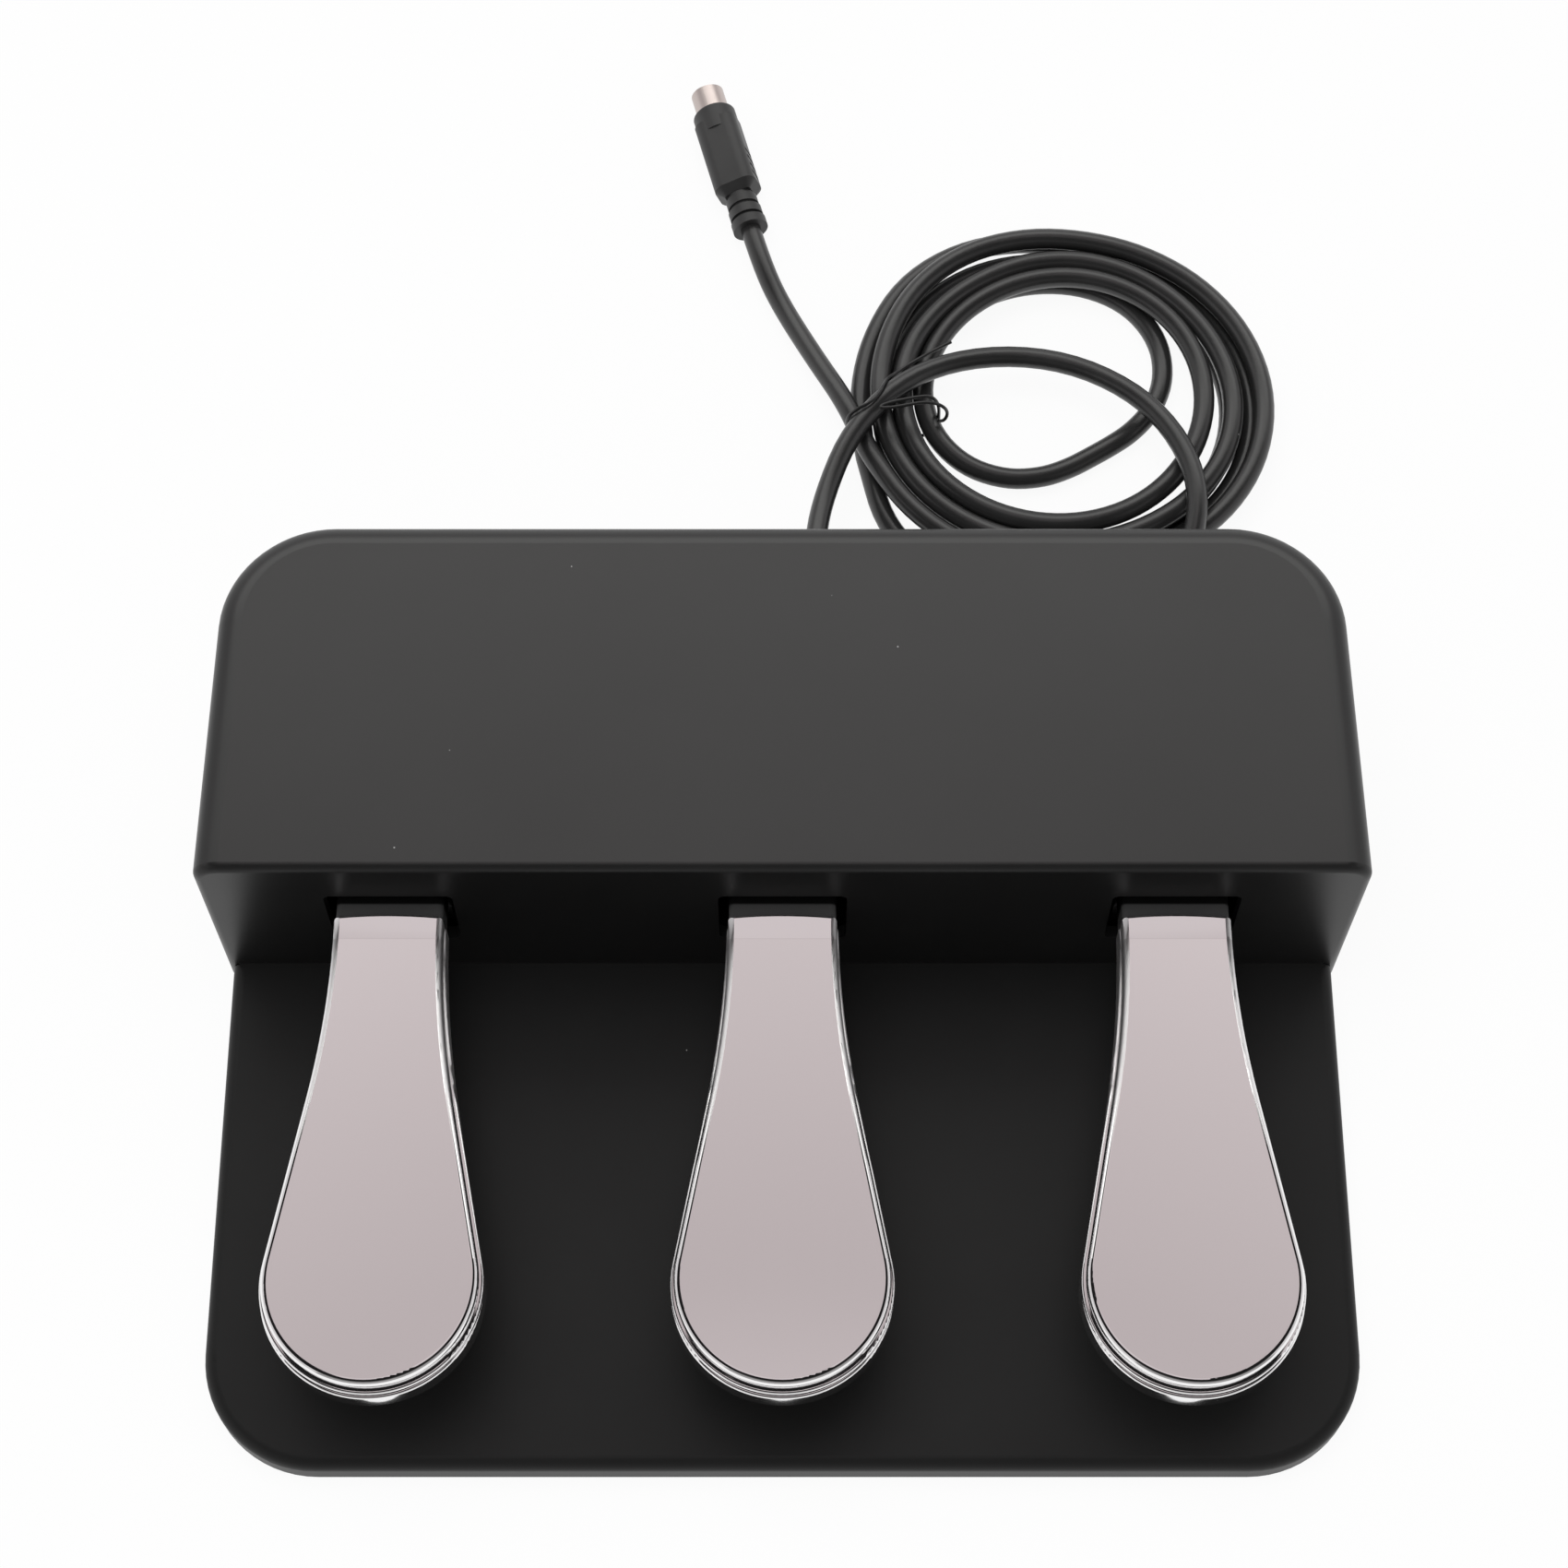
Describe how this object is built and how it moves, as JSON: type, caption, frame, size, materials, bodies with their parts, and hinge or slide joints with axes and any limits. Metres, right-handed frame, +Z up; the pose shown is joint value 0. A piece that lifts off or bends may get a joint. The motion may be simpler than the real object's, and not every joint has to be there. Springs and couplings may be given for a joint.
{
  "type": "piano pedal unit",
  "caption": "Floor-standing pedal unit for a digital piano: low black plate, deep box behind, flared chromed pedals on sprung levers, and a coiled signal cord with a round plug.",
  "frame": {"origin": "on the floor under the middle of the plate and box, cord left out", "axes": "+X to the player's right, +Y away from the player, +Z up"},
  "size_m": [0.27, 0.3846, 0.068],
  "materials": {
    "housing_plastic": "fine satin black moulding",
    "plate_plastic": "fine satin black moulding",
    "sheet_steel": "black powder coat",
    "foot_rubber": "matt black rubber",
    "screw_steel": "zinc-plated steel",
    "bracket_steel": "zinc-plated pressed steel",
    "spring_steel": "spring wire",
    "lever_paint": "black satin paint on pressed steel",
    "pedal_chrome": "polished chrome plating",
    "felt": "dense felt",
    "stop_rubber": "moulded rubber",
    "switch_plastic": "switch moulding",
    "plunger_plastic": "ivory nylon",
    "board": "circuit board",
    "header_plastic": "ivory connector",
    "wire_pvc": "bundle of insulated wires",
    "gland_rubber": "soft black rubber",
    "cord_pvc": "satin black PVC sheath",
    "tie_wire": "plastic-coated wire",
    "plug_pvc": "moulded black PVC",
    "plug_metal": "plated steel shell",
    "plug_insulator": "black insert with plated pins"
  },
  "bodies": {
    "base": {"housing": "housing_plastic", "base_plate": "plate_plastic", "bottom_sheet": "sheet_steel", "feet": "foot_rubber", "housing_screws": "screw_steel", "sheet_screws": "screw_steel", "bracket_screws": "screw_steel", "board_screws": "screw_steel", "circuit_board": "board", "wire_header": "header_plastic", "inner_wires": "wire_pvc", "cord_gland": "gland_rubber", "cord_lead": "cord_pvc", "cord_coil": "cord_pvc", "cord_tail": "cord_pvc", "cord_tie": "tie_wire", "plug_boot": "plug_pvc", "plug_body": "plug_pvc", "plug_shell": "plug_metal", "plug_insert": "plug_insulator", "left_hinge_bracket": "bracket_steel", "left_rest_felt": "felt", "left_pivot_pin": "bracket_steel", "left_down_stop": "stop_rubber", "left_switch": "switch_plastic", "left_return_spring": "spring_steel", "centre_hinge_bracket": "bracket_steel", "centre_rest_felt": "felt", "centre_pivot_pin": "bracket_steel", "centre_down_stop": "stop_rubber", "centre_switch": "switch_plastic", "centre_return_spring": "spring_steel", "right_hinge_bracket": "bracket_steel", "right_rest_felt": "felt", "right_pivot_pin": "bracket_steel", "right_down_stop": "stop_rubber", "right_switch": "switch_plastic", "right_return_spring": "spring_steel"},
    "left_pedal": {"left_lever": "lever_paint", "left_cap": "pedal_chrome", "left_cap_tray": "pedal_chrome", "left_cap_screws": "screw_steel"},
    "left_plunger": {"left_switch_plunger": "plunger_plastic"},
    "centre_pedal": {"centre_lever": "lever_paint", "centre_cap": "pedal_chrome", "centre_cap_tray": "pedal_chrome", "centre_cap_screws": "screw_steel"},
    "centre_plunger": {"centre_switch_plunger": "plunger_plastic"},
    "right_pedal": {"right_lever": "lever_paint", "right_cap": "pedal_chrome", "right_cap_tray": "pedal_chrome", "right_cap_screws": "screw_steel"},
    "right_plunger": {"right_switch_plunger": "plunger_plastic"}
  },
  "joints": [
    {"name": "left_pedal_press", "type": "hinge", "parent": "base", "child": "left_pedal", "pos_m": [-0.0915, 0.082, 0.04], "axis": [1, 0, 0], "range_deg": [0, 6], "stiffness_Nm_per_rad": 15, "springref_deg": -5.73, "deforming": ["left_return_spring"]},
    {"name": "left_plunger_travel", "type": "slide", "parent": "base", "child": "left_plunger", "axis": [0, 0, 1], "range_m": [-0.0028, 0]},
    {"name": "centre_pedal_press", "type": "hinge", "parent": "base", "child": "centre_pedal", "pos_m": [0, 0.082, 0.04], "axis": [1, 0, 0], "range_deg": [0, 6], "stiffness_Nm_per_rad": 15, "springref_deg": -5.73, "deforming": ["centre_return_spring"]},
    {"name": "centre_plunger_travel", "type": "slide", "parent": "base", "child": "centre_plunger", "axis": [0, 0, 1], "range_m": [-0.0028, 0]},
    {"name": "right_pedal_press", "type": "hinge", "parent": "base", "child": "right_pedal", "pos_m": [0.0915, 0.082, 0.04], "axis": [1, 0, 0], "range_deg": [0, 6], "stiffness_Nm_per_rad": 15, "springref_deg": -5.73, "deforming": ["right_return_spring"]},
    {"name": "right_plunger_travel", "type": "slide", "parent": "base", "child": "right_plunger", "axis": [0, 0, 1], "range_m": [-0.0028, 0]}
  ],
  "couplings": [
    {"joint": "left_plunger_travel", "follows": "left_pedal_press", "m_per_rad": -0.0249},
    {"joint": "centre_plunger_travel", "follows": "centre_pedal_press", "m_per_rad": -0.0249},
    {"joint": "right_plunger_travel", "follows": "right_pedal_press", "m_per_rad": -0.0249}
  ]
}
